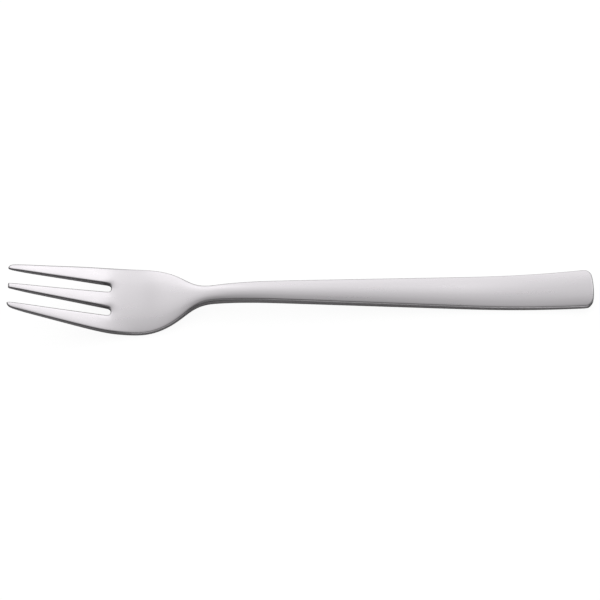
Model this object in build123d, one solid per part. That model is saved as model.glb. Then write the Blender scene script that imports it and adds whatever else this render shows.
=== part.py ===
from build123d import *
from math import asin, atan2, copysign, cos, hypot, inf, pi, sin, sqrt, tan
import os

# A three tined pastry fork, pressed from one strip of steel. Sizes are in millimetres.
# X runs along the fork with the tines at the low end, Y runs across it and Z is up.
# The origin is on the table, under the middle of the fork.
# A station is a distance along the fork, measured from the points of the tines.

# The whole fork
length = 150.0
rim_radius = 0.3

# Head, seen from above
tip_spread = 12.6
taper_length = 31.0
taper_radius = 97.0
head_width = 19.1
full_width_length = 1.6
shoulder_length = 18.7
shoulder_share = 0.68
shoulder_straight = 2.0

# Handle, seen from above
neck_width = 4.7
end_width = 11.05
end_bow = 0.6
end_corner_radius = 2.2

# Slots and the tines between them
slot_depth = 25.65
slot_corner_radius = 1.0
middle_root_width = 4.5
middle_tip_width = 1.5
middle_setback = 0.2
outer_tip_width = 1.6
outer_tip_radius = 1.1
tip_land = 0.15
point_clearance = 0.1

# Underside, seen from the side, above the table
tip_height = 10.5
belly_station = 34.3
belly_share = 0.33
belly_straight = 13.0
arch_station = 62.4
arch_height = 3.1
rest_from_end = 21.4
rest_radius = 180.0

# Thickness of the steel on the middle line
tip_thickness = 1.3
belly_thickness = 2.0
neck_thickness = 3.1
end_thickness = 2.0

# Crown, how far the top and the underside fall away from the middle line to the rim
tine_crown = 0.2
belly_crown = 0.6
neck_crown = 0.66
end_crown = 0.6
neck_under_crown = 0.5

# Sections of the curved steel, and how far they overhang the outline
section_spacing = 3.0
overhang = 0.6

# Limit of a slot's corner, as a share of the slot's width
slot_corner_limit = 0.48

# Places and sizes that follow from these
shoulder_station = taper_length + full_width_length
neck_station = shoulder_station + shoulder_length
rest_station = length - rest_from_end
slot_spread = tip_spread - 2 * outer_tip_width


def touching_runs(circles):
    """Straight runs that touch each neighbouring pair in a row of circles (x, y, radius).

    The runs pass under a circle of positive radius and over one of negative radius.
    A radius of nothing is a point where the runs start or end.
    """
    runs = []
    for (x1, y1, radius1), (x2, y2, radius2) in zip(circles, circles[1:]):
        slant = atan2(y2 - y1, x2 - x1) - asin((radius2 - radius1) / hypot(x2 - x1, y2 - y1))
        start = (x1 + radius1 * sin(slant), y1 - radius1 * cos(slant))
        end = (x2 + radius2 * sin(slant), y2 - radius2 * cos(slant))
        runs.append((start, end))
    return runs


def height_at(circles, x):
    """Height at x of the smooth line that follows those runs and bends round those circles."""
    runs = touching_runs(circles)
    run_starts = [start[0] for start, _ in runs]
    run_ends = [end[0] for _, end in runs]
    bends = zip(run_ends, [*run_starts[1:], inf], circles[1:])
    for bend_start, bend_end, (middle, centre, radius) in bends:
        if radius and bend_start < x < bend_end:
            return centre - copysign(sqrt(radius**2 - (x - middle) ** 2), radius)
    (x1, y1), (x2, y2) = next((run for run in runs if x <= run[1][0]), runs[-1])
    return y1 + (y2 - y1) * (x - x1) / (x2 - x1)


def bend_radii(along, across, straight, share):
    """Radii of the two arcs of an S bend that has a straight between them."""
    both_radii = (along**2 + across**2 - straight**2) / (2 * across)
    return both_radii * share, both_radii * (1 - share)


def eased(keys, x):
    """Value at x that passes smoothly through keys of (place, value), level at each key."""
    for (x1, value1), (x2, value2) in zip(keys, keys[1:]):
        if x <= x2:
            share = max(0.0, (x - x1) / (x2 - x1))
            return value1 + (value2 - value1) * share**2 * (3 - 2 * share)
    return keys[-1][1]


def edge_line():
    """Circles that one long edge of the outline follows, as half widths at stations."""
    fall = (head_width - neck_width) / 2
    shoulder_radius, neck_radius = bend_radii(shoulder_length, fall, shoulder_straight, shoulder_share)
    return [
        (0.0, tip_spread / 2, 0.0),
        (taper_length, head_width / 2 - taper_radius, -taper_radius),
        (shoulder_station, head_width / 2 - shoulder_radius, -shoulder_radius),
        (neck_station, neck_width / 2 + neck_radius, neck_radius),
        (length - end_bow, end_width / 2, 0.0),
    ]


def under_line():
    """Circles that the underside follows, on the table at the belly and near the handle's end."""
    along = arch_station - belly_station
    belly_radius, arch_radius = bend_radii(along, arch_height, belly_straight, belly_share)
    return [
        (0.0, tip_height, 0.0),
        (belly_station, belly_radius, belly_radius),
        (arch_station, arch_height - arch_radius, -arch_radius),
        (rest_station, rest_radius, rest_radius),
    ]


def section(station):
    """Cross section of the curved steel, wider than the outline."""
    half_width = height_at(edge_line(), station)
    under = height_at(under_line(), station)
    thicknesses = [
        (0.0, tip_thickness),
        (belly_station, belly_thickness),
        (neck_station, neck_thickness),
        (length, end_thickness),
    ]
    top_crowns = [
        (slot_depth, tine_crown),
        (belly_station, belly_crown),
        (neck_station, neck_crown),
        (length, end_crown),
    ]
    under_crowns = [(belly_station, 0.0), (neck_station, neck_under_crown), (rest_station, 0.0)]
    top = under + eased(thicknesses, station)
    reach = half_width + overhang
    spread = (reach / half_width) ** 2
    top_fall = eased(top_crowns, station) * spread
    under_rise = eased(under_crowns, station) * spread
    x = station - length / 2
    top_near = (x, -reach, top - top_fall)
    top_far = (x, reach, top - top_fall)
    under_near = (x, -reach, under + under_rise)
    under_far = (x, reach, under + under_rise)
    return make_face(
        [
            Bezier(top_near, (x, 0, top + top_fall), top_far),
            Line(top_far, under_far),
            Bezier(under_far, (x, 0, under - under_rise), under_near),
            Line(under_near, top_near),
        ]
    )


def curved_steel():
    """Curved strip of steel, before it is trimmed to its outline."""
    spaces = round(length / section_spacing)
    stations = [length * number / spaces for number in range(-1, spaces + 2)]
    return loft([section(station) for station in stations])


def slot():
    """Slot on the far side of the middle tine, seen from above, open at the points."""
    tip = -length / 2
    root = tip + slot_depth
    beyond = tip - slot_depth
    shape = make_face(
        Polyline(
            (root, middle_root_width / 2),
            (root, slot_spread / 2),
            (beyond, slot_spread / 2),
            (beyond, middle_tip_width - middle_root_width / 2),
            close=True,
        )
    )
    root_width = (slot_spread - middle_root_width) / 2
    root_corners = shape.vertices().group_by(Axis.X)[-1]
    return fillet(root_corners, min(slot_corner_radius, root_width * slot_corner_limit))


def point_radius():
    """Corner radius at the points: as far as the rim's rounding reaches on the slant of the tines."""
    (x1, z1), (x2, z2) = touching_runs(under_line())[0]
    slant = atan2(z1 - z2, x2 - x1)
    return rim_radius / tan((pi / 2 - slant) / 2) + point_clearance


def outline():
    """Outline of the fork seen from above, with its slots and rounded corners."""
    tip = -length / 2
    end = length / 2
    circles = [(tip + station, half_width, radius) for station, half_width, radius in edge_line()]
    runs = touching_runs(circles)
    far_edge = [Line(*run) for run in runs]
    for (_, bend_start), (bend_end, _), (_, _, radius) in zip(runs, runs[1:], circles[1:]):
        far_edge.append(RadiusArc(bend_start, bend_end, -radius))
    near_edge = [mirror(edge, Plane.XZ) for edge in far_edge]
    front = Line((tip, -tip_spread / 2), (tip, tip_spread / 2))
    corner = end - end_bow
    back = ThreePointArc((corner, -end_width / 2), (end, 0), (corner, end_width / 2))
    shape = make_face([*far_edge, *near_edge, front, back])
    shape = fillet(shape.vertices().group_by(Axis.X)[-1], end_corner_radius)
    outer_tip_room = outer_tip_width - point_radius() - tip_land
    outer_tips = shape.vertices().group_by(Axis.X)[0]
    shape = fillet(outer_tips, min(outer_tip_radius, outer_tip_room))
    shape -= slot()
    shape -= mirror(slot(), Plane.XZ)
    shape -= Pos(tip, 0) * Rectangle(2 * middle_setback, slot_spread)
    inner_points = shape.vertices().sort_by(Axis.X)[:6].sort_by(Axis.Y)[1:-1]
    return fillet(inner_points, point_radius())


def fork_body():
    """The whole fork: the curved steel trimmed to its outline, with its rims rounded over."""
    steel = curved_steel()
    headroom = steel.bounding_box().max.Z + overhang
    trimmed = steel & extrude(outline(), amount=headroom, both=True)
    top_and_underside = trimmed.faces().sort_by(SortBy.AREA)[-2:]
    return fillet(top_and_underside.edges(), rim_radius)


os.makedirs("parts", exist_ok=True)
fork = fork_body()
export_step(fork, "parts/fork_body.step")
size = fork.bounding_box().size
print(f"fork_body {size.X:.2f} x {size.Y:.2f} x {size.Z:.2f} mm, {fork.volume / 1000:.2f} cubic cm")
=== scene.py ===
# %% [markdown]
# A pastry fork in satin steel, with three tines, a shallow head and a plain handle.
# The imported fork comes in first and stays where it is, and its box gives the length and width that the
# fork is built to.
# The camera, the steel and the light are then made around it, one short step at a time.

# %% Load the imported fork
from math import asin, atan2, copysign, cos, hypot, inf, radians, sin, sqrt

import bmesh
import bpy
from mathutils import Matrix, Vector
from mathutils.bvhtree import BVHTree


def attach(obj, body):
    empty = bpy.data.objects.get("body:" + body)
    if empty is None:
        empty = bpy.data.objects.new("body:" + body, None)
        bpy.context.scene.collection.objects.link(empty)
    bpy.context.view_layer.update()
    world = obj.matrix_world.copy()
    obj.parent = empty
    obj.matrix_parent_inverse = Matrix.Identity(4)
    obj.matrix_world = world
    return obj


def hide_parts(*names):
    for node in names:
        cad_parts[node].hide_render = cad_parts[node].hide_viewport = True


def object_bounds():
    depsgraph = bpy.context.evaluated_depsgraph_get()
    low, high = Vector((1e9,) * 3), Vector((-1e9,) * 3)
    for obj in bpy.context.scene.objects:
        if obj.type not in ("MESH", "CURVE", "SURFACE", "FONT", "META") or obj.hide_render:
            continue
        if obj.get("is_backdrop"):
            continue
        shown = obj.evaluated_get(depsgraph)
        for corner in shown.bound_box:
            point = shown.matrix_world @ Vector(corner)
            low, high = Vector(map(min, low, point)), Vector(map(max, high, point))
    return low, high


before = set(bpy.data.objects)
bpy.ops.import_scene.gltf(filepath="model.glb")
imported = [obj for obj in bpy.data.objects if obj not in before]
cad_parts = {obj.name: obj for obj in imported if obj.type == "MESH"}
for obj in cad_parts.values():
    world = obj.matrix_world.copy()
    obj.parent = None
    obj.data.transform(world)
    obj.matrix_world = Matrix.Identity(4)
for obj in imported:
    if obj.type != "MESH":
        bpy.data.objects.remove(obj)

MM = 0.001
cad_low, cad_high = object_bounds()
length = cad_high.x - cad_low.x
head_width = cad_high.y - cad_low.y
print(f"packed fork: {length / MM:.2f} mm long, {head_width / MM:.2f} mm wide")

# %% [markdown]
# The camera stands in front of the fork and looks down at it steeply, from far enough away
# that the lines along the fork stay almost parallel. It could be aimed with a Track To constraint.
# Here its three axes are worked out from the angles and put straight into its matrix,
# because the picture is also turned a little, and that turn is then just one more angle.

# %% Camera
view_elevation = radians(60)
view_azimuth = radians(2)
view_roll = radians(3.2)
view_distance = 640 * MM
view_target = Vector((0, 0, 4 * MM))
frame_shift = Vector((-0.488, -2.054)) * MM
lens = 149.4
nearest_shown = 10 * MM

level_right = Vector((cos(view_azimuth), sin(view_azimuth), 0))
toward_camera = Vector((
    sin(view_azimuth) * cos(view_elevation),
    -cos(view_azimuth) * cos(view_elevation),
    sin(view_elevation),
))
level_up = toward_camera.cross(level_right)
picture_right = level_right * cos(view_roll) - level_up * sin(view_roll)
picture_up = level_right * sin(view_roll) + level_up * cos(view_roll)

camera = bpy.data.objects.new("camera", bpy.data.cameras.new("camera"))
camera.data.lens = lens
camera.data.clip_start = nearest_shown
camera.matrix_world = Matrix((picture_right, picture_up, toward_camera)).transposed().to_4x4()
camera.location = (
    view_target
    + toward_camera * view_distance
    + picture_right * frame_shift.x
    + picture_up * frame_shift.y
)
bpy.context.scene.collection.objects.link(camera)
bpy.context.scene.camera = camera
print(f"camera at {[round(c, 3) for c in camera.location]} m, {lens} mm lens")

# %% [markdown]
# Both long edges and the underside of the fork are straight runs that flow into round bends.
# They could be drawn as Bezier curves by eye, but arcs and tangents have sizes that can be measured.
# Each line is a row of circles, and the runs between them touch the circles on both sides.
# A station is a distance along the fork, from the points of the tines.

# %% Lines made of runs and bends
def touching_runs(circles):
    """Straight runs that touch each neighbouring pair in a row of circles (x, y, radius)."""
    runs = []
    for (x1, y1, radius1), (x2, y2, radius2) in zip(circles, circles[1:]):
        slant = atan2(y2 - y1, x2 - x1) - asin((radius2 - radius1) / hypot(x2 - x1, y2 - y1))
        start = (x1 + radius1 * sin(slant), y1 - radius1 * cos(slant))
        end = (x2 + radius2 * sin(slant), y2 - radius2 * cos(slant))
        runs.append((start, end))
    return runs


def height_at(circles, x):
    """Height at x of the line that follows those runs and bends round those circles."""
    runs = touching_runs(circles)
    run_starts = [start[0] for start, _ in runs]
    run_ends = [end[0] for _, end in runs]
    bends = zip(run_ends, [*run_starts[1:], inf], circles[1:])
    for bend_start, bend_end, (middle, centre, radius) in bends:
        if radius and bend_start < x < bend_end:
            return centre - copysign(sqrt(radius**2 - (x - middle) ** 2), radius)
    (x1, y1), (x2, y2) = next((run for run in runs if x <= run[1][0]), runs[-1])
    return y1 + (y2 - y1) * (x - x1) / (x2 - x1)


def bend_radii(along, across, straight, share):
    """Radii of the two arcs of an S bend that has a straight between them."""
    both_radii = (along**2 + across**2 - straight**2) / (2 * across)
    return both_radii * share, both_radii * (1 - share)


print("helpers for runs and bends are ready")

# %% [markdown]
# Seen from above, the tines taper to their points, the head is widest just behind the slots,
# and the shoulders draw in to a narrow neck, from where the handle widens slowly to its end.
# The outline could be traced over a picture. Here a few lengths and widths drive it,
# so that one of them can change and the edge still flows through.

# %% Outline seen from above
tip_spread = 12.6 * MM
taper_length = 31 * MM
taper_radius = 97 * MM
full_width_length = 1.6 * MM
shoulder_length = 18.7 * MM
shoulder_share = 0.68
shoulder_straight = 2.0 * MM
neck_width = 4.7 * MM
end_width = 11.05 * MM
end_bow = 0.6 * MM
shoulder_station = taper_length + full_width_length
neck_station = shoulder_station + shoulder_length

shoulder_fall = (head_width - neck_width) / 2
shoulder_radius, neck_radius = bend_radii(
    shoulder_length, shoulder_fall, shoulder_straight, shoulder_share
)
edge_circles = [
    (0.0, tip_spread / 2, 0.0),
    (taper_length, head_width / 2 - taper_radius, -taper_radius),
    (shoulder_station, head_width / 2 - shoulder_radius, -shoulder_radius),
    (neck_station, neck_width / 2 + neck_radius, neck_radius),
    (length - end_bow, end_width / 2, 0.0),
]


def half_width(station):
    """Half the fork's width at a station."""
    return height_at(edge_circles, station)


print(f"shoulder radius {shoulder_radius / MM:.1f} mm, neck radius {neck_radius / MM:.1f} mm")

# %% [markdown]
# Seen from the side, the tines curve up from a belly that touches the table.
# The neck arches over it, and the handle comes down to the table again shortly before its end.
# A curve with a profile could follow that line, but the steel would be equally thick all along.
# So only the underside is such a line, and the next step lays the steel on it.

# %% Underside seen from the side
tip_height = 10.5 * MM
belly_station = 34.3 * MM
belly_share = 0.33
belly_straight = 13 * MM
arch_station = 62.4 * MM
arch_height = 3.1 * MM
rest_from_end = 21.4 * MM
rest_radius = 180 * MM
rest_station = length - rest_from_end

belly_radius, arch_radius = bend_radii(
    arch_station - belly_station, arch_height, belly_straight, belly_share
)
under_circles = [
    (0.0, tip_height, 0.0),
    (belly_station, belly_radius, belly_radius),
    (arch_station, arch_height - arch_radius, -arch_radius),
    (rest_station, rest_radius, rest_radius),
]
print(f"belly radius {belly_radius / MM:.1f} mm, arch radius {arch_radius / MM:.1f} mm")

# %% [markdown]
# The steel is thin at the points and thickest just behind the neck. Its top is crowned across,
# and the roll is how much of the crown falls close to the edges.
# Each of these passes smoothly through a few keys, of a place and a value.
# A drawn curve could hold them too, but keys can be read and changed one at a time.

# %% Thickness, crown and roll
slot_depth = 25.65 * MM
point_length = 5 * MM
crown_start = slot_depth - 10 * MM
point_rise_keys = [(0.0, 0.35 * MM), (point_length, 0.0)]
thickness_keys = [
    (0.0, 0.8 * MM),
    (point_length, 1.35 * MM),
    (belly_station, 2.0 * MM),
    (neck_station + 3 * MM, 3.1 * MM),
    (length, 2.0 * MM),
]
top_crown_keys = [
    (crown_start, 0.1 * MM),
    (slot_depth, 0.25 * MM),
    (belly_station, 0.6 * MM),
    (neck_station, 0.66 * MM),
    (arch_station + 6 * MM, 0.56 * MM),
    (arch_station + 28 * MM, 0.62 * MM),
    (rest_station, 0.61 * MM),
    (length, 0.68 * MM),
]
edge_roll_keys = [
    (crown_start, 0.0),
    (slot_depth, 0.3),
    (belly_station, 0.6),
    (neck_station - 4 * MM, 0.75),
    (arch_station, 0.2),
    (rest_station, 0.2),
    (length, 0.5),
]
under_crown_keys = [(belly_station, 0.0), (neck_station, 0.5 * MM), (rest_station, 0.0)]


def eased(keys, x):
    """Value at x that passes smoothly through keys of (place, value), level at each key."""
    for (x1, value1), (x2, value2) in zip(keys, keys[1:]):
        if x <= x2:
            share = max(0.0, (x - x1) / (x2 - x1))
            return value1 + (value2 - value1) * share**2 * (3 - 2 * share)
    return keys[-1][1]


def middle_underside(station):
    """Height of the underside on the middle line, where it lifts to the thin points of the tines."""
    return height_at(under_circles, station) + eased(point_rise_keys, station)


def underside(station, share):
    """Height of the underside, where share is how far out from the middle line to the edge."""
    return middle_underside(station) + eased(under_crown_keys, station) * share**2


def top_side(station, share):
    """Height of the top, at the same places."""
    middle = middle_underside(station) + eased(thickness_keys, station)
    roll = eased(edge_roll_keys, station)
    return middle - eased(top_crown_keys, station) * (share**2 * (1 - roll) + share**4 * roll)


for place, thickness in thickness_keys:
    print(f"{thickness / MM:.2f} mm thick at {place / MM:.1f} mm from the points")

# %% [markdown]
# A fork like this starts as a flat blank, stamped out of sheet steel with its slots in it.
# An outline filled with one large face could show the same, but it couldn't be bent smoothly.
# The blank here is one grid, so that every row of faces runs straight across the fork
# and every column runs along it from a tine to the handle's end.
# Rows lie closest together where the shape turns most:
# at the points, at the ends of the slots and at the handle's end.

# %% Rows of the blank
tip_rows = [0.0, 0.9 * MM, 2.4 * MM]
tine_rows_start = 4.6 * MM
tine_rows_end = slot_depth - 2.9 * MM
tine_row_count = 7
root_spacing = 1.05 * MM
head_rows_start = slot_depth + 2.8 * MM
head_rows_end = neck_station + 4 * MM
head_row_count = 13
handle_rows_start = neck_station + 7.5 * MM
handle_rows_end = length - 7 * MM
handle_row_count = 16
end_steps = [3.6 * MM, 1.8 * MM, 0.8 * MM, 0.0]


def evenly(start, end, count):
    """Evenly spaced stations, both ends among them."""
    return [start + (end - start) * number / (count - 1) for number in range(count)]


rows = [
    *tip_rows,
    *evenly(tine_rows_start, tine_rows_end, tine_row_count),
    slot_depth - root_spacing,
    slot_depth,
    slot_depth + root_spacing,
    *evenly(head_rows_start, head_rows_end, head_row_count),
    *evenly(handle_rows_start, handle_rows_end, handle_row_count),
    *[length - step for step in end_steps],
]
root_row = rows.index(slot_depth)
last_row = len(rows) - 1
print(f"{len(rows)} rows across the fork, the slots end at number {root_row}")

# %% [markdown]
# The columns follow the edges of the tines as far as the slots go.
# After that they draw in and spread out with the outline.
# The slots could be cut out later with a Boolean modifier, but that leaves ragged faces beside them.
# With columns on both sides of each slot, a slot is just a block of faces that is taken away.

# %% Columns of the blank
middle_tip_width = 1.5 * MM
middle_root_width = 4.5 * MM
outer_tip_width = 1.6 * MM
slot_side = tip_spread / 2 - outer_tip_width
side_columns = 7
slot_columns = (2, 4)
inner_margin = 0.9 * MM
outer_margin = 0.25


def column_lines(station):
    """Distances from the middle line of the columns on one side, from the middle out."""
    held = min(station, slot_depth)
    middle = middle_tip_width + (middle_root_width - middle_tip_width) * held / slot_depth
    inner = middle / 2
    outer = half_width(held)
    lines = [
        0.0,
        inner - inner_margin * middle / middle_root_width,
        inner,
        (inner + slot_side) / 2,
        slot_side,
        slot_side + (outer - slot_side) * outer_margin,
        slot_side + (outer - slot_side) * (1 + outer_margin) / 2,
        outer,
    ]
    return [line * half_width(station) / outer for line in lines]


def slot_lines(station):
    """Distances from the middle line of a slot's inner side, its middle and its outer side."""
    return column_lines(station)[slot_columns[0]:slot_columns[1] + 1]


root_inner, _, root_outer = slot_lines(slot_depth)
print(f"{2 * side_columns + 1} lines of vertices along the fork")
print(f"slots {(root_outer - root_inner) / MM:.2f} mm wide at their ends")

# %% [markdown]
# Small corners of the blank are rounded by moving a single vertex inwards along its diagonal.
# The subdivision later on turns what is left of the corner into a smooth curve.
# The corners of the handle's end and the outer corners of the points are larger, and there
# all the vertices of the corner move, so that its squares become the rings of a quarter of a disc.
# Cutting arcs of many small edges would be exact too, but it would break up the even grid.

# %% Corners of the blank
middle_setback = 0.2 * MM
tip_corner_radius = 1.3 * MM
point_corner = 0.15 * MM
slot_corner = 0.18 * MM
slot_bow = 0.08 * MM
end_corner_radius = 1.9 * MM
end_bow_reach = 3 * MM


def corner_move(row, column):
    """How far a vertex moves along and across the fork to round off its corner."""
    if row == 0 and column <= slot_columns[0]:
        return middle_setback, 0.0
    if row == 0 and column == slot_columns[1]:
        return point_corner, point_corner
    if row == root_row and slot_columns[0] < column < slot_columns[1]:
        return slot_bow, 0.0
    if row == root_row and column == slot_columns[0]:
        return -slot_corner, slot_corner
    if row == root_row and column == slot_columns[1]:
        return -slot_corner, -slot_corner
    return 0.0, 0.0


def round_corner_move(from_end, from_edge, radius):
    """How far a vertex near a corner moves away from the end and in from the edge."""
    along = radius - from_end
    across = radius - from_edge
    if min(along, across) <= 0:
        return 0.0, 0.0
    pull = 1 - max(along, across) / hypot(along, across)
    return along * pull, across * pull


def blank_place(row, column):
    """Where the vertex of a row and a column lies on the flat blank."""
    station = rows[row]
    line = column_lines(station)[abs(column)]
    from_edge = half_width(station) - line
    small_move = corner_move(row, abs(column))
    tip_move = round_corner_move(station, from_edge, tip_corner_radius)
    end_move = round_corner_move(length - station, from_edge, end_corner_radius)
    bow_share = max(0.0, 1 - (length - station) / end_bow_reach)
    bow = end_bow * bow_share * (line / half_width(station)) ** 2
    x = station - bow + small_move[0] + tip_move[0] - end_move[0] - length / 2
    y = line + small_move[1] - tip_move[1] - end_move[1]
    return Vector((x, copysign(y, column), 0.0))


end_corner = blank_place(last_row, side_columns)
print(f"corner of the handle's end at {end_corner.x / MM:.2f}, {end_corner.y / MM:.2f} mm")

# %% [markdown]
# Now the blank is stamped. It starts as a square grid with as many rows and columns as it needs.
# The faces between the tines are noted, every vertex goes to its place, and the noted faces are deleted.
# The vertices could be written down one by one, but the operator already joins them into neat faces.

# %% Flat blank with its slots
grid_half = 0.5
blank = bmesh.new()
bmesh.ops.create_grid(blank, x_segments=last_row, y_segments=2 * side_columns, size=grid_half)
grid_place = {}
for vertex in blank.verts:
    row = round((vertex.co.x + grid_half) * last_row)
    column = round(vertex.co.y / grid_half * side_columns)
    grid_place[vertex] = (row, column)

slot_faces = []
for face in blank.faces:
    face_rows = [grid_place[vertex][0] for vertex in face.verts]
    face_columns = [abs(grid_place[vertex][1]) for vertex in face.verts]
    between_tines = min(face_columns) >= slot_columns[0] and max(face_columns) <= slot_columns[1]
    if between_tines and max(face_rows) <= root_row:
        slot_faces.append(face)
for vertex, (row, column) in grid_place.items():
    vertex.co = blank_place(row, column)
bmesh.ops.delete(blank, geom=slot_faces, context="FACES")
print(f"blank of {len(blank.faces)} faces, {len(slot_faces)} cut away for the slots")

# %% [markdown]
# The blank now gets its thickness, and the sharp rims that stamping leaves are rounded over.
# Both could be modifiers on the finished fork. Solidify and bevel work best while everything
# is still flat, though: the rims are then simply the edges where a level face meets an upright one.

# %% Thickness and rounded rims
blank_thickness = 2.0 * MM
rim_radius = 0.35 * MM
rim_segments = 3
halfway_slope = 0.5

bmesh.ops.solidify(blank, geom=list(blank.faces), thickness=blank_thickness)
blank.normal_update()


def is_rim(edge):
    """Whether a level face and an upright one meet in an edge."""
    slopes = [abs(face.normal.z) for face in edge.link_faces]
    return len(slopes) == 2 and min(slopes) < halfway_slope < max(slopes)


rim_edges = [edge for edge in blank.edges if is_rim(edge)]
bmesh.ops.bevel(
    blank,
    geom=rim_edges,
    offset=rim_radius,
    offset_type="OFFSET",
    affect="EDGES",
    segments=rim_segments,
    profile=0.5,
    material=-1,
)
print(f"{len(rim_edges)} rim edges rounded, {len(blank.faces)} faces")

# %% [markdown]
# The rims are painted darker than the faces, as painted shade for the dark that the edges of polished
# steel mirror, most of all on the tines and the neck. The ends of the slots and of the handle get painted
# shade as well.
# A second material could show that, but it would end in a hard line.
# An attribute on the vertices fades out smoothly, and the finish reads it later on.

# %% Painted shade on the rims
# painted shade: these sizes and keys say where the rims and the ends are painted darker, and how much
rim_margin = 0.01 * MM
shade_reach = 2 * MM
slot_end_shade = 0.6
handle_end_shade = 0.7
rim_shade_keys = [
    (slot_depth, 1.0),
    (belly_station, 0.25),
    (neck_station - 9 * MM, 0.25),
    (neck_station - 4 * MM, 1.0),
    (arch_station, 0.8),
    (arch_station + 18 * MM, 0.5),
    (arch_station + 46 * MM, 0.5),
    (rest_station, 0.2),
]


def painted_rim_shade(station, across, depth):
    """How much painted shade the flat blank gets at a place, at a depth below the nearer one of its
    faces.
    """
    if depth < rim_margin:
        return 0.0
    if across < slot_side + rim_margin and abs(station - slot_depth) < shade_reach:
        return slot_end_shade
    if length - station < shade_reach:
        return handle_end_shade
    if depth < rim_radius - rim_margin:
        return eased(rim_shade_keys, station)
    return 0.0


# the painted shade is stored in the vertex attribute called rim
rim_shade_mark = blank.verts.layers.float.new("rim")
for vertex in blank.verts:
    depth = min(-vertex.co.z, blank_thickness + vertex.co.z)
    vertex[rim_shade_mark] = painted_rim_shade(vertex.co.x + length / 2, abs(vertex.co.y), depth)
# the count is of vertices that carry painted shade
shaded_count = sum(vertex[rim_shade_mark] > 0 for vertex in blank.verts)
print(f"{shaded_count} of {len(blank.verts)} vertices are marked as shaded")

# %% [markdown]
# The top has a few small forms of its own: each tine is slightly domed, the steel dips where the ends
# of the slots are buffed, and the edge of the handle's end is rounded over.
# They could be sculpted with a brush. Here each one is a short function of the place,
# so its depth and its reach are sizes like all the others.

# %% Small forms of the top
tine_dome = 0.06 * MM
dome_keys = [(slot_depth - 5 * MM, tine_dome), (slot_depth, 0.0)]
dip_depth = 0.45 * MM
dip_reach = 1.4 * MM
dip_keys = [(slot_depth - 1.5 * MM, 0.0), (slot_depth - 0.1 * MM, dip_depth)]
end_round = 0.45 * MM


def tine_fall(station, across):
    """How far the top of a single tine falls away from the tine's own middle line."""
    held = max(station, 0.0)
    inner, slot_middle, outer = slot_lines(held)
    low, high = (-inner, inner) if across < slot_middle else (outer, half_width(held))
    share = (2 * across - low - high) / (high - low)
    return eased(dome_keys, station) * share**2


def slot_dip(station, across):
    """How far the top dips towards the end of a slot, where it is buffed over."""
    inner, slot_middle, outer = slot_lines(slot_depth)
    slot_radius = (outer - inner) / 2
    beyond = max(0.0, station - slot_depth + slot_radius)
    away = max(0.0, hypot(beyond, across - slot_middle) - slot_radius)
    return eased(dip_keys, station) * max(0.0, 1 - away / dip_reach) ** 2


def end_fall(station):
    """How far the top falls to the round edge of the handle's end."""
    beyond = min(end_round, max(0.0, station - length + end_round))
    return end_round - sqrt(end_round**2 - beyond**2)


print(f"domes of {tine_dome / MM:.2f} mm and dips of {dip_depth / MM:.2f} mm")
print(f"handle's end rounded by {end_round / MM:.2f} mm")

# %% [markdown]
# Pressing gives the fork its curves. In a forge two dies close on the blank from above and below,
# and the same happens here: the upper half of the blank is set on the top's surface
# and the lower half on the underside's, and each vertex keeps its own depth below the skin.
# A Lattice or a Curve modifier could bend the blank too, but neither can also change its thickness.
# A Subdivision Surface modifier then smooths what the dies have pressed.

# %% Press the blank into shape
smoothing_levels = 2

for vertex in blank.verts:
    station = vertex.co.x + length / 2
    across = abs(vertex.co.y)
    share = min(1.0, across / half_width(station))
    if vertex.co.z > -blank_thickness / 2:
        fall = tine_fall(station, across) + slot_dip(station, across) + end_fall(station)
        vertex.co.z += top_side(station, share) - fall
    else:
        vertex.co.z += blank_thickness + underside(station, share)
bmesh.ops.recalc_face_normals(blank, faces=list(blank.faces))

fork_mesh = bpy.data.meshes.new("fork_steel")
blank.to_mesh(fork_mesh)
blank.free()
fork_mesh.shade_smooth()
fork_steel = bpy.data.objects.new("fork_steel", fork_mesh)
bpy.context.scene.collection.objects.link(fork_steel)
smoothing = fork_steel.modifiers.new("smoothing", "SUBSURF")
smoothing.levels = smoothing_levels
smoothing.render_levels = smoothing_levels
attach(fork_steel, "root")
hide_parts("fork_body")
print(f"{fork_steel.name} has {len(fork_mesh.polygons)} faces before it is smoothed")

# %% [markdown]
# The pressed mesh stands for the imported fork, so the two have to agree.
# They could be laid over each other and looked at from every side.
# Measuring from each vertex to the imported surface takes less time, and it also finds the worst place.

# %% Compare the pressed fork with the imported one
pressed = fork_steel.evaluated_get(bpy.context.evaluated_depsgraph_get()).to_mesh()
packed = bmesh.new()
packed.from_mesh(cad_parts["fork_body"].data)
packed_tree = BVHTree.FromBMesh(packed)
packed.free()


def gap(vertex):
    """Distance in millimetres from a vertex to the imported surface."""
    _, _, _, distance = packed_tree.find_nearest(vertex.co)
    return distance / MM


gaps = [gap(vertex) for vertex in pressed.vertices]
worst_station = pressed.vertices[gaps.index(max(gaps))].co.x + length / 2
pressed.calc_loop_triangles()
print(f"{len(pressed.loop_triangles)} triangles in the pressed fork")
print(f"off the packed fork by {sum(gaps) / len(gaps):.3f} mm on average")
print(f"and by {max(gaps):.3f} mm at most, {worst_station / MM:.1f} mm from the points")

# %% [markdown]
# Polishing along the fork leaves very fine lines, too fine to see one by one,
# and they blur what the steel mirrors. A roughness map painted by hand could show them.
# A noise that is stretched along the fork gives the same lines at any size,
# so the finish stays sharp in a close view.

# %% Noise along the fork
noise_middle = (0.3, 0.7)


def new_material(name):
    """A material with a cleared node tree and its output."""
    material = bpy.data.materials.new(name)
    material.use_nodes = True
    material.node_tree.nodes.clear()
    output = material.node_tree.nodes.new("ShaderNodeOutputMaterial")
    return material, material.node_tree.nodes, material.node_tree.links, output


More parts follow.
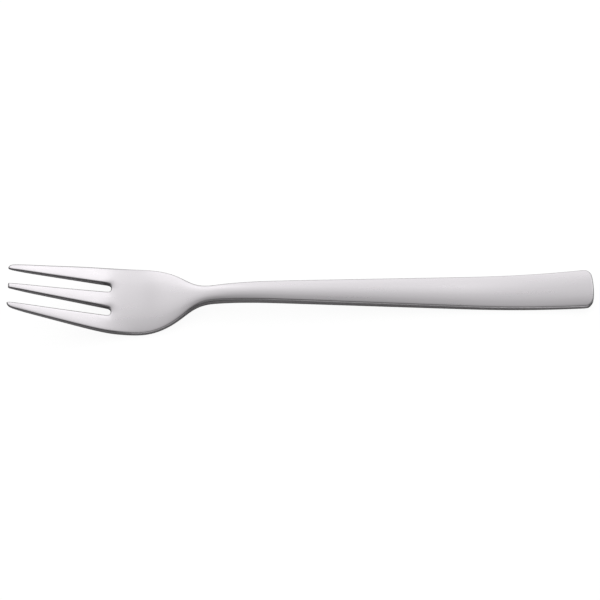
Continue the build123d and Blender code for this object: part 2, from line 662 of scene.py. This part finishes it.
def stretched_noise(nodes, links, waves, detail):
    """Noise on the piece's own coordinates, with so many waves to a metre along X, Y and Z."""
    place = nodes.new("ShaderNodeTexCoord")
    mapping = nodes.new("ShaderNodeMapping")
    mapping.inputs["Scale"].default_value = waves
    links.new(place.outputs["Object"], mapping.inputs["Vector"])
    noise = nodes.new("ShaderNodeTexNoise")
    noise.inputs["Scale"].default_value = 1.0
    noise.inputs["Detail"].default_value = detail
    links.new(mapping.outputs["Vector"], noise.inputs["Vector"])
    return noise.outputs["Fac"]


def spread_noise(nodes, links, noise, span):
    """The middle part of a noise, spread over a span of values."""
    spread = nodes.new("ShaderNodeMapRange")
    spread.inputs["From Min"].default_value = noise_middle[0]
    spread.inputs["From Max"].default_value = noise_middle[1]
    spread.inputs["To Min"].default_value = span[0]
    spread.inputs["To Max"].default_value = span[1]
    links.new(noise, spread.inputs["Value"])
    return spread.outputs["Result"]


print("helpers for materials and stretched noise are ready")

# %% [markdown]
# The satin finish has two such noises: a broad one that varies the roughness a little,
# and a much finer one for the height of the lines. Plain values could stand for both,
# but steel that is the same all over looks like plastic.
# The marked rims take a darker colour, which is painted shade for the dark that steel mirrors at its
# edges.

# %% Satin steel
face_colour = (0.828, 0.801, 0.828, 1)
# painted shade: the dark colour that the marked rims are given
painted_rim_shade_colour = (0.18, 0.174, 0.18, 1)
streak_waves = (40, 1100, 1100)
streak_detail = 4
streak_roughness = (0.27, 0.30)
line_waves = (150, 9000, 9000)
line_detail = 3
line_height = 0.01 * MM
line_strength = 0.03


def satin_steel():
    """Polished steel with fine lines along the fork, and painted shade on the marked rims."""
    material, nodes, links, output = new_material("satin_steel")
    steel = nodes.new("ShaderNodeBsdfPrincipled")
    steel.inputs["Metallic"].default_value = 1.0
    # the rim attribute mixes the painted shade colour into the steel
    rim = nodes.new("ShaderNodeAttribute")
    rim.attribute_name = "rim"
    colour = nodes.new("ShaderNodeMix")
    colour.data_type = "RGBA"
    colour.inputs["A"].default_value = face_colour
    colour.inputs["B"].default_value = painted_rim_shade_colour
    links.new(rim.outputs["Fac"], colour.inputs["Factor"])
    links.new(colour.outputs["Result"], steel.inputs["Base Color"])
    streaks = stretched_noise(nodes, links, streak_waves, streak_detail)
    roughness = spread_noise(nodes, links, streaks, streak_roughness)
    links.new(roughness, steel.inputs["Roughness"])
    lines = stretched_noise(nodes, links, line_waves, line_detail)
    bump = nodes.new("ShaderNodeBump")
    bump.inputs["Strength"].default_value = line_strength
    bump.inputs["Distance"].default_value = line_height
    links.new(lines, bump.inputs["Height"])
    links.new(bump.outputs["Normal"], steel.inputs["Normal"])
    links.new(steel.outputs["BSDF"], output.inputs["Surface"])
    return material


fork_mesh.materials.append(satin_steel())
print(f"{fork_steel.name} is finished in {fork_mesh.materials[0].name}")

# %% [markdown]
# The fork lies on a plain white floor. A floor that is only lit would come out grey in places,
# so most of its white is its own glow, which the camera sees and the steel mirrors.
# The rest is a thin coat of paint, and that part still takes the fork's shadow.

# %% White for the floor
floor_glow = 0.92
floor_paint = 0.2


def white_floor():
    """Paint that takes shadows, and a glow for the camera and for what mirrors the floor."""
    material, nodes, links, output = new_material("white_floor")
    paint = nodes.new("ShaderNodeBsdfDiffuse")
    paint.inputs["Color"].default_value = (floor_paint, floor_paint, floor_paint, 1)
    rays = nodes.new("ShaderNodeLightPath")
    seen = rays.outputs["Is Camera Ray"]
    for ray in ("Is Glossy Ray", "Is Transmission Ray"):
        either = nodes.new("ShaderNodeMath")
        either.operation = "MAXIMUM"
        links.new(seen, either.inputs[0])
        links.new(rays.outputs[ray], either.inputs[1])
        seen = either.outputs["Value"]
    strength = nodes.new("ShaderNodeMath")
    strength.operation = "MULTIPLY"
    strength.inputs[1].default_value = floor_glow
    links.new(seen, strength.inputs[0])
    glow = nodes.new("ShaderNodeEmission")
    links.new(strength.outputs["Value"], glow.inputs["Strength"])
    both = nodes.new("ShaderNodeAddShader")
    links.new(paint.outputs["BSDF"], both.inputs[0])
    links.new(glow.outputs["Emission"], both.inputs[1])
    links.new(both.outputs["Shader"], output.inputs["Surface"])
    return material


floor_white = white_floor()
print(f"{floor_white.name} glows at {floor_glow} and has paint of {floor_paint}")

# %% [markdown]
# The floor is part of the studio and not of the fork, so it is marked as a stage.
# A plane from the Add menu would do as well, but the next step lays a second sheet,
# so a small function makes both. The floor reaches so far that its edge lies close to the horizon.

# %% Lay the floor
floor_reach = 40.0


def flat_stage(name, reach_x, reach_y, centre, material):
    """A level rectangle that is part of the studio and not of the fork."""
    sheet = bmesh.new()
    bmesh.ops.create_grid(sheet, x_segments=1, y_segments=1, size=1.0)
    bmesh.ops.scale(sheet, vec=(reach_x, reach_y, 1), verts=sheet.verts)
    bmesh.ops.translate(sheet, vec=centre, verts=sheet.verts)
    mesh = bpy.data.meshes.new(name)
    sheet.to_mesh(mesh)
    sheet.free()
    mesh.materials.append(material)
    piece = bpy.data.objects.new(name, mesh)
    bpy.context.scene.collection.objects.link(piece)
    piece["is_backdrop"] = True
    return piece


flat_stage("floor", floor_reach, floor_reach, (0, 0, 0), floor_white)
print(f"floor {2 * floor_reach:.0f} m across")

# %% [markdown]
# On a white floor the edges of polished steel mirror white and vanish.
# Photographers lay a dark card beside such a piece, just out of the picture, to draw the edges in.
# Here the card is grey and can lie under the fork itself, because only mirrored rays see it.

# %% Grey card for the edges
card_reach = Vector((220, 80)) * MM
card_centre = Vector((0, 0, 0.05)) * MM
card_grey = 0.36

grey_card, card_nodes, card_links, card_output = new_material("grey_card")
card_paint = card_nodes.new("ShaderNodeBsdfDiffuse")
card_paint.inputs["Color"].default_value = (card_grey, card_grey, card_grey, 1)
card_links.new(card_paint.outputs["BSDF"], card_output.inputs["Surface"])
card = flat_stage("edge_card", card_reach.x, card_reach.y, card_centre, grey_card)
card.visible_camera = False
card.visible_diffuse = False
card.visible_transmission = False
card.visible_shadow = False
print(f"card {2 * card_reach.x / MM:.0f} by {2 * card_reach.y / MM:.0f} mm, seen by mirrored rays only")

# %% [markdown]
# The studio is bright behind the fork, as with one huge white sheet hung at the back, and dark over
# the camera. In front it is lighter again, so that the fork also looks right from behind.
# An image of a studio could do this, but a ramp over the angle needs no file and has no edges.
# Each step of the ramp has the degrees up from the horizon behind the fork, and a brightness.

# %% Light from the back to the front
sky_dip = radians(15)
sky_ramp = [
    (0, 1.0), (30, 0.97), (38, 0.88), (60, 0.71), (105, 0.29), (116, 0.19), (126, 0.10),
    (140, 0.10), (150, 0.40), (163, 0.70),
]

world = bpy.data.worlds.new("studio")
bpy.context.scene.world = world
world.use_nodes = True
sky_nodes = world.node_tree.nodes
sky_links = world.node_tree.links
sky_nodes.clear()
direction = sky_nodes.new("ShaderNodeTexCoord")
toward_back = sky_nodes.new("ShaderNodeVectorMath")
toward_back.operation = "DOT_PRODUCT"
toward_back.inputs[1].default_value = (0, cos(sky_dip), -sin(sky_dip))
sky_links.new(direction.outputs["Generated"], toward_back.inputs[0])
to_ramp = sky_nodes.new("ShaderNodeMapRange")
to_ramp.inputs["From Min"].default_value = -1.0
sky_links.new(toward_back.outputs["Value"], to_ramp.inputs["Value"])
ramp = sky_nodes.new("ShaderNodeValToRGB")
ramp.color_ramp.interpolation = "CARDINAL"
for angle, brightness in sky_ramp:
    place = (cos(radians(angle) + sky_dip) + 1) / 2
    stop = ramp.color_ramp.elements.new(place)
    stop.color = (brightness, brightness, brightness, 1)
ramp.color_ramp.elements.remove(ramp.color_ramp.elements[0])
ramp.color_ramp.elements.remove(ramp.color_ramp.elements[-1])
sky_links.new(to_ramp.outputs["Result"], ramp.inputs["Fac"])
print(f"studio light with {len(sky_ramp)} steps from the back to the front")

# %% [markdown]
# Low down the studio is white all round, so that the view from any side ends in white.
# White sheets could stand round the fork, but the steel would mirror their edges.
# A haze that thins out with height has no edges, and the brighter of the two lights is what shows.

# %% White haze low down
haze_start = 0.07
haze_top = 0.42

height = sky_nodes.new("ShaderNodeSeparateXYZ")
sky_links.new(direction.outputs["Generated"], height.inputs["Vector"])
haze = sky_nodes.new("ShaderNodeMapRange")
haze.interpolation_type = "SMOOTHSTEP"
haze.inputs["From Min"].default_value = haze_start
haze.inputs["From Max"].default_value = haze_top
haze.inputs["To Min"].default_value = 1.0
haze.inputs["To Max"].default_value = 0.0
sky_links.new(height.outputs["Z"], haze.inputs["Value"])
brighter = sky_nodes.new("ShaderNodeMath")
brighter.operation = "MAXIMUM"
sky_links.new(ramp.outputs["Color"], brighter.inputs[0])
sky_links.new(haze.outputs["Result"], brighter.inputs[1])
backdrop = sky_nodes.new("ShaderNodeBackground")
sky_links.new(brighter.outputs["Value"], backdrop.inputs["Color"])
sky_output = sky_nodes.new("ShaderNodeOutputWorld")
sky_links.new(backdrop.outputs["Background"], sky_output.inputs["Surface"])
print(f"haze from a height of {haze_start} up to {haze_top} of the way to straight up")

# %% [markdown]
# Two softboxes hang behind the fork, one on the right and one on the left, and a small weak one
# hangs close over the head. The steel shows them wherever it curves: the rising tines mirror
# the right one, the shoulders the left one, and the dip behind the slots the small one.
# Point lamps could give as much light, but on polished steel they show as hard spots.

# %% Softboxes
def softbox(name, place, size, power):
    """A square lamp that hangs at a place and faces the fork, hidden from the camera."""
    lamp = bpy.data.lights.new(name, "AREA")
    lamp.size = size
    lamp.energy = power
    piece = bpy.data.objects.new(name, lamp)
    piece.location = place
    piece.rotation_euler = Vector(place).to_track_quat("Z", "Y").to_euler()
    piece.visible_camera = False
    bpy.context.scene.collection.objects.link(piece)
    return piece


softboxes = [
    softbox("right_softbox", place=(0.48, 0.56, 0.68), size=0.44, power=0.35),
    softbox("left_softbox", place=(-0.40, 0.76, 0.55), size=0.54, power=0.24),
    softbox("head_softbox", place=(-0.02, 0.11, 0.14), size=0.07, power=0.0022),
]
print(f"{len(softboxes)} softboxes, {sum(box.data.energy for box in softboxes):.2f} W in all")

# %% [markdown]
# The colours are shown as they are. A film look could be laid over them, but then the steel
# would no longer have the tones that it was given.
# The box of the finished fork is also written down, so that it can be set beside the imported fork's
# length and width.

# %% Colours and size
bpy.context.scene.view_settings.view_transform = "Standard"
look_low, look_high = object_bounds()
for side, low, high in zip("XYZ", look_low, look_high):
    print(f"{side} from {low / MM:.2f} to {high / MM:.2f} mm")
